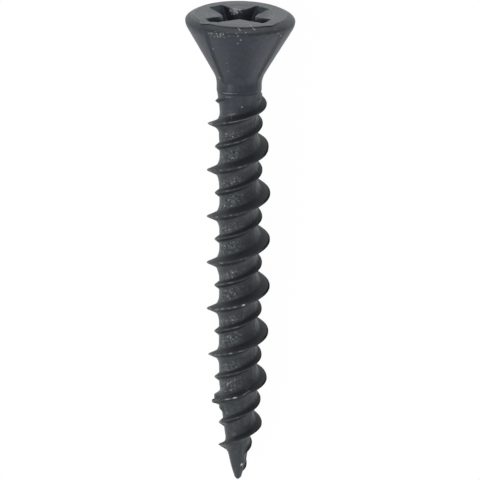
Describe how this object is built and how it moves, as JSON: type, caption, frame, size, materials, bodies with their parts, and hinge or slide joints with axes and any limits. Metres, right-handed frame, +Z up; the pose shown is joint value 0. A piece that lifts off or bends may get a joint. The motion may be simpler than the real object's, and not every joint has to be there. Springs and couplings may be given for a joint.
{
  "type": "dense board screw",
  "caption": "Countersunk wood screw for dense board, with a cross recess, pockets pressed under the head, a plain neck and a high and a low thread side by side down to a sharp point.",
  "frame": {"origin": "bottom centre of the box round the screw as it lies, on the surface it lies on", "axes": "+X runs from the head to the point, +Z is up, and the screw's own axis rises about 4 degrees towards the head because it lies on the rim of its head and one crest of the high thread"},
  "size_m": [0.0302, 0.0066, 0.0067],
  "materials": {
    "black_phosphated_steel": "satin"
  },
  "bodies": {
    "root": {"screw": "black_phosphated_steel"}
  },
  "joints": []
}
